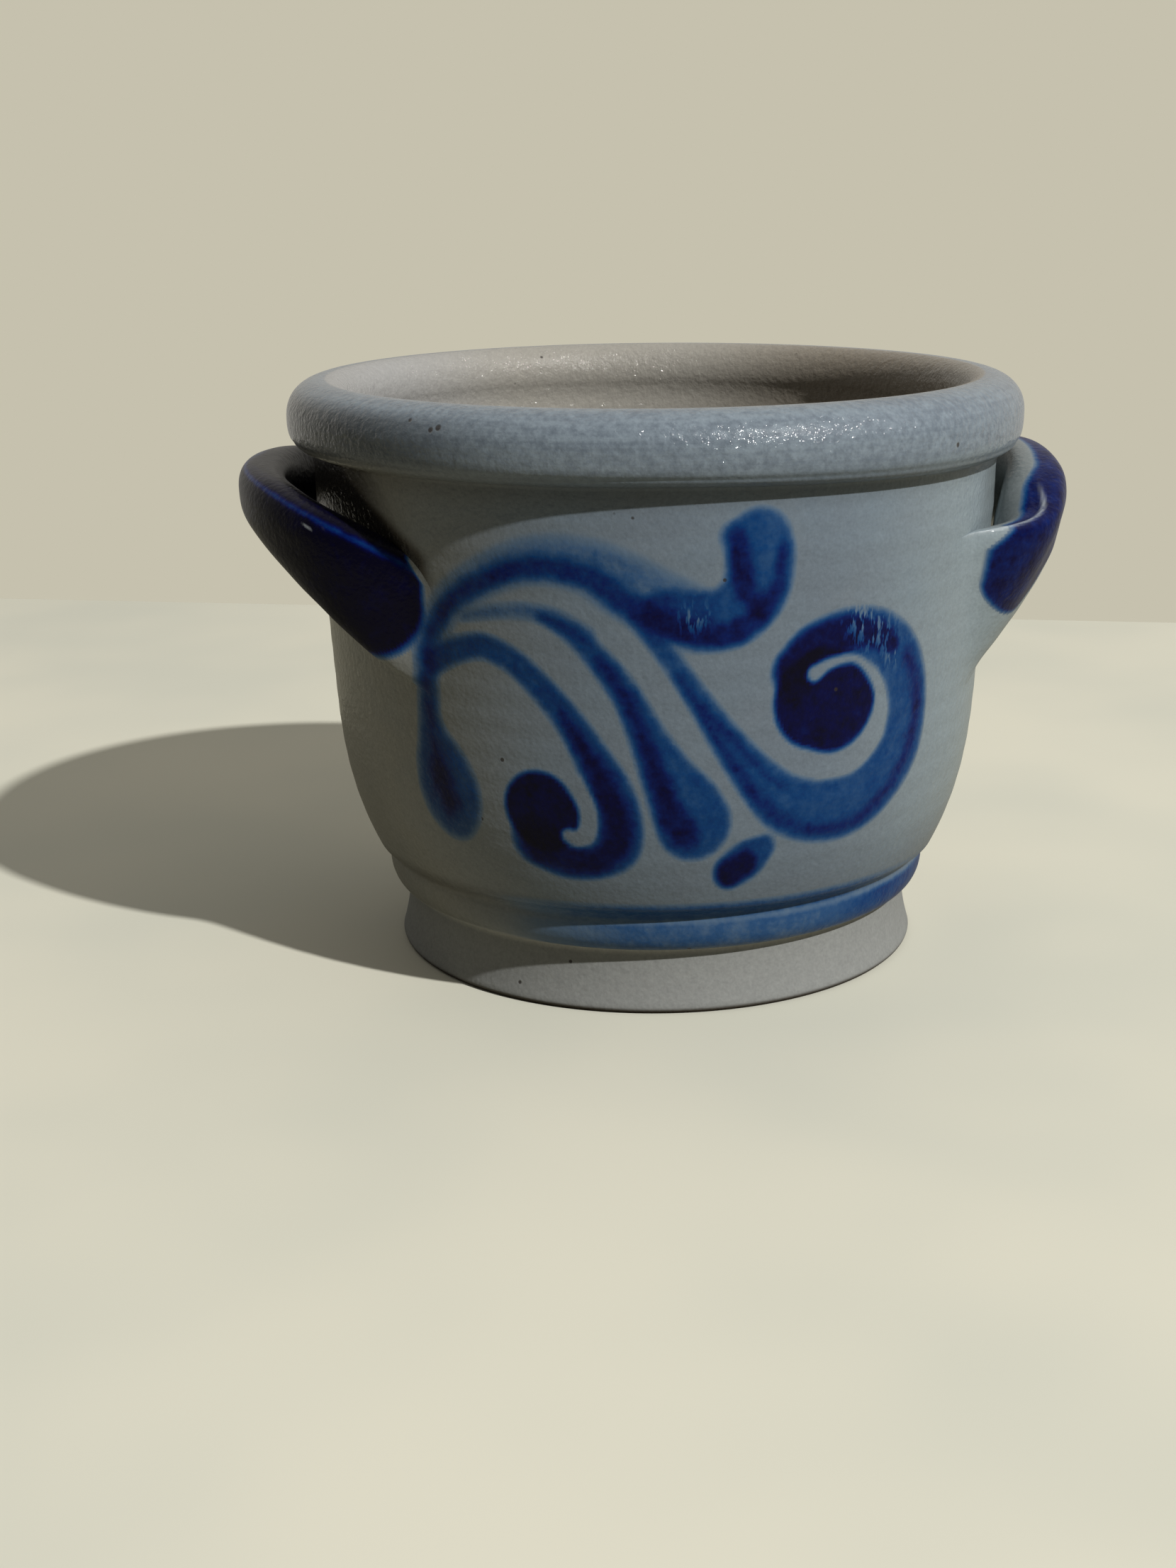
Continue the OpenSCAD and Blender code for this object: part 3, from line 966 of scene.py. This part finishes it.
studio = {
    "board": paint(218, 216, 201),
    "boardSoft": paint(209, 209, 196),
    "boardBounce": paint(148, 145, 129),
    "backdrop": paint(198, 193, 174),
    "boardReach": 900.0,     # to each side and to the front
    "boardDepth": 197.5,     # from the pot's axis to the far edge
    "boardTurn": -15.3,
    "boardDrop": 0.02,       # how far it lies below the foot
    "keyPower": 66.0,
    "keySize": 70.0,
    "keyAway": 2500.0,
    "keyAim": 40.0,          # height that it points at
    "keyTurn": 38.7,         # degrees to the right of the front
    "keyRise": 41.0,
    "keyColour": (1.0, 0.985, 0.95),
    "sky": (1.0, 0.96, 0.87, 1),
    "skyTilt": (0.8, 0.6),   # how far the lighter part of the room lies to the back and up
    "room": (-0.35, 0.75, 0.05, 0.44),  # from the darker to the lighter part, and how light they are
}


def makeBoard():
    wide, far = studio["boardReach"], studio["boardDepth"]
    corners = np.array([(-wide, -wide, 0), (wide, -wide, 0), (wide, far, 0), (-wide, far, 0)], float)
    angle = math.radians(studio["boardTurn"])
    turned = corners.copy()
    turned[:, 0] = corners[:, 0] * math.cos(angle) - corners[:, 1] * math.sin(angle)
    turned[:, 1] = corners[:, 0] * math.sin(angle) + corners[:, 1] * math.cos(angle)
    board = meshPiece("board", turned, [[0, 1, 2, 3]], {})
    board.location.z = potLow.z - studio["boardDrop"] * mm
    material = bpy.data.materials.new("pale_board")
    net = Net(material)
    soft = net.noise(net.place(), 60.0, 2.0)
    tone = net.blend(soft.ramp(0.3, 0.7), studio["board"], studio["boardSoft"])
    seen = net.node("ShaderNodeLightPath")  # the board shows pale but throws less light on the pot
    tone = net.blend(seen, studio["boardBounce"], tone)
    net.shader({"Base Color": tone, "Roughness": 0.75, "Specular IOR Level": 0.1})
    board.data.materials.append(material)


def makeLight():
    lamp = bpy.data.lights.new("window", "AREA")
    lamp.shape, lamp.size, lamp.energy = "DISK", studio["keySize"] * mm, studio["keyPower"]
    lamp.color = studio["keyColour"]
    light = bpy.data.objects.new("window", lamp)
    rise = math.radians(studio["keyRise"])
    side = level(180 - studio["keyTurn"])
    toLight = side * math.cos(rise) + Vector((0, 0, math.sin(rise)))
    light.location = (toLight * studio["keyAway"] + Vector((0, 0, studio["keyAim"]))) * mm
    light.rotation_mode = "QUATERNION"
    light.rotation_quaternion = toLight.to_track_quat("Z", "Y")
    bpy.context.collection.objects.link(light)


def makeWorld():
    # the backdrop behind lights the pot, and the room in front of it is darker
    world = bpy.data.worlds.new("studio")
    bpy.context.scene.world = world
    net = Net(world)
    back, rise = studio["skyTilt"]
    toBackdrop = (*(level(-studio["boardTurn"]) * back).xy, rise)
    way = net.node("ShaderNodeTexCoord", output=0)
    towards = net.node("ShaderNodeVectorMath", {"operation": "DOT_PRODUCT"}, {0: way, 1: toBackdrop}, 1)
    sky = net.node("ShaderNodeBackground", None, {0: studio["sky"], 1: towards.ramp(*studio["room"])})
    wall = net.node("ShaderNodeBackground", None, {0: studio["backdrop"]})
    seen = net.node("ShaderNodeLightPath")
    mix = net.node("ShaderNodeMixShader", None, {0: seen, 1: sky, 2: wall})
    net.node("ShaderNodeOutputWorld", None, {0: mix})


makeBoard()
makeLight()
makeWorld()
bpy.context.scene.view_settings.view_transform = "Standard"
print("studio ready")
